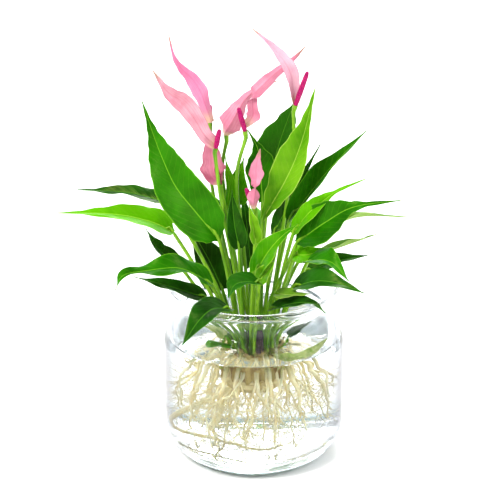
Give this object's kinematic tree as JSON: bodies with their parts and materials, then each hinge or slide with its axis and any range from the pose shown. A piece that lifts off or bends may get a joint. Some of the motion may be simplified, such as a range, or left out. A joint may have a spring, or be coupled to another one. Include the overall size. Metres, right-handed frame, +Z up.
{
  "type": "anthurium plant in a glass water vase",
  "caption": "Whole pink-flowered anthurium plant with glossy pointed leaves and bare roots, standing in a clear glass jar vase part filled with water.",
  "frame": {"origin": "middle of the vase's flat base, on the surface that it stands on", "axes": "+Z up along the vase's axis; the plant's showy side looks along -Y, with +X to the right as seen from there"},
  "size_m": [0.2841, 0.1965, 0.3624],
  "materials": {
    "clear_glass": "gloss",
    "water": "gloss",
    "crown_brown": "matte",
    "root_cream": "satin",
    "leaf_dark": "gloss",
    "leaf_mid": "gloss",
    "leaf_bright": "gloss",
    "leaf_lime": "gloss",
    "leaf_olive": "satin",
    "stalk_green": "satin",
    "spathe_pink": "satin",
    "spathe_pale_pink": "satin",
    "spadix_magenta": "matte"
  },
  "bodies": {
    "root": {"vase": "clear_glass", "water": "water", "crown": "crown_brown", "roots": "root_cream", "leaf_tall_left": "leaf_mid", "leaf_tall_right": "leaf_lime", "leaf_upright_back_right": "leaf_dark", "leaf_upright_middle": "leaf_dark", "leaf_right_rising": "leaf_mid", "leaf_right_narrow": "leaf_dark", "leaf_right_pale": "leaf_lime", "leaf_right_broad": "leaf_mid", "leaf_right_far": "leaf_olive", "leaf_right_behind": "leaf_olive", "leaf_right_short": "leaf_bright", "leaf_right_drooping": "leaf_bright", "leaf_right_low_back": "leaf_dark", "leaf_front_right_low": "leaf_dark", "leaf_front_right_olive": "leaf_olive", "leaf_over_right_rim": "leaf_dark", "leaf_front_slanted": "leaf_bright", "leaf_front_small": "leaf_lime", "leaf_front_drooping": "leaf_dark", "leaf_over_left_rim": "leaf_dark", "leaf_left_spread": "leaf_bright", "leaf_left_upper": "leaf_dark", "leaf_left_second": "leaf_olive", "leaf_left_back_low": "leaf_dark", "leaf_left_waved": "leaf_mid", "leaf_left_low": "leaf_dark", "leaf_behind_left": "leaf_dark", "leaf_middle_left": "leaf_dark", "leaf_left_slim": "leaf_mid", "leaf_middle_light": "leaf_bright", "leaf_middle_slim": "leaf_lime", "leaf_middle_back": "leaf_dark", "leaf_back_left": "leaf_mid", "leaf_back": "leaf_bright", "leaf_back_right": "leaf_mid", "flower_tall_left_stalk": "stalk_green", "flower_tall_left_spathe": "spathe_pink", "flower_tall_left_spadix": "spadix_magenta", "flower_left_stalk": "stalk_green", "flower_left_spathe": "spathe_pale_pink", "flower_left_spadix": "spadix_magenta", "flower_low_left_stalk": "stalk_green", "flower_low_left_spathe": "spathe_pink", "flower_low_left_spadix": "spadix_magenta", "flower_middle_back_stalk": "stalk_green", "flower_middle_back_spathe": "spathe_pink", "flower_middle_back_spadix": "spadix_magenta", "flower_middle_stalk": "stalk_green", "flower_middle_spathe": "spathe_pink", "flower_middle_spadix": "spadix_magenta", "flower_tall_right_stalk": "stalk_green", "flower_tall_right_spathe": "spathe_pale_pink", "flower_tall_right_spadix": "spadix_magenta", "flower_small_stalk": "stalk_green", "flower_small_spathe": "spathe_pink", "flower_small_spadix": "spadix_magenta"}
  },
  "joints": []
}
